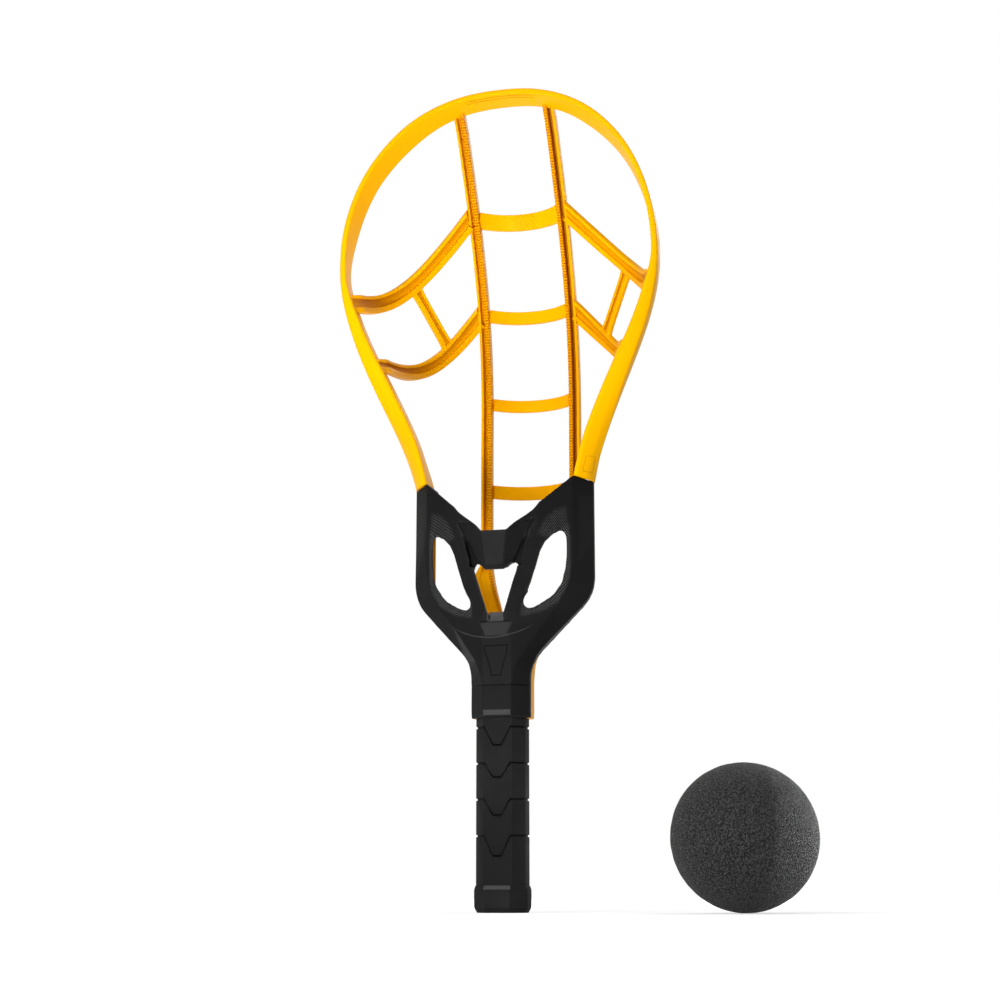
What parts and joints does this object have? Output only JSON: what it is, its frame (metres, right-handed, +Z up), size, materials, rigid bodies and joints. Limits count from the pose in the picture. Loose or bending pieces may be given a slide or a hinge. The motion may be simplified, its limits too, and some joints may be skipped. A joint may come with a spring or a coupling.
{
  "type": "scoop catch racket",
  "caption": "Scoop catch racket: a curved hoop with a toothed rail ball track, rungs and side arms on a moulded yoke and faceted grip, and its foam ball.",
  "frame": {"origin": "middle of the flat face of the end cap", "axes": "+Z up the handle to the crown of the hoop, +X across the racket to the ball's side, -Y the open front where the ball goes in"},
  "size_m": [0.3068, 0.1363, 0.544],
  "materials": {
    "frame_yellow": "semi-gloss moulded plastic",
    "yoke_black": "satin moulded plastic",
    "grip_black": "matte soft grip",
    "screw_steel": "plain zinc",
    "ball_foam": "finely speckled foam"
  },
  "bodies": {
    "racket": {"hoop_crown": "frame_yellow", "hoop_left": "frame_yellow", "hoop_right": "frame_yellow", "left_leg": "frame_yellow", "right_leg": "frame_yellow", "left_rail": "frame_yellow", "right_rail": "frame_yellow", "left_rail_foot": "frame_yellow", "right_rail_foot": "frame_yellow", "rung_1": "frame_yellow", "rung_2": "frame_yellow", "rung_3": "frame_yellow", "rung_4": "frame_yellow", "left_upper_arm": "frame_yellow", "right_upper_arm": "frame_yellow", "left_lower_arm": "frame_yellow", "right_lower_arm": "frame_yellow", "left_arm_link": "frame_yellow", "right_arm_link": "frame_yellow", "rear_shell": "frame_yellow", "handle_tang": "frame_yellow", "front_yoke": "yoke_black", "shell_screws": "screw_steel", "grip_sleeve": "grip_black", "end_cap": "grip_black"},
    "ball": {"foam_ball": "ball_foam"}
  },
  "joints": [
    {"name": "ball_lift", "type": "slide", "parent": "racket", "child": "ball", "axis": [0, 0, 1], "range_m": [0, 0.3]}
  ]
}
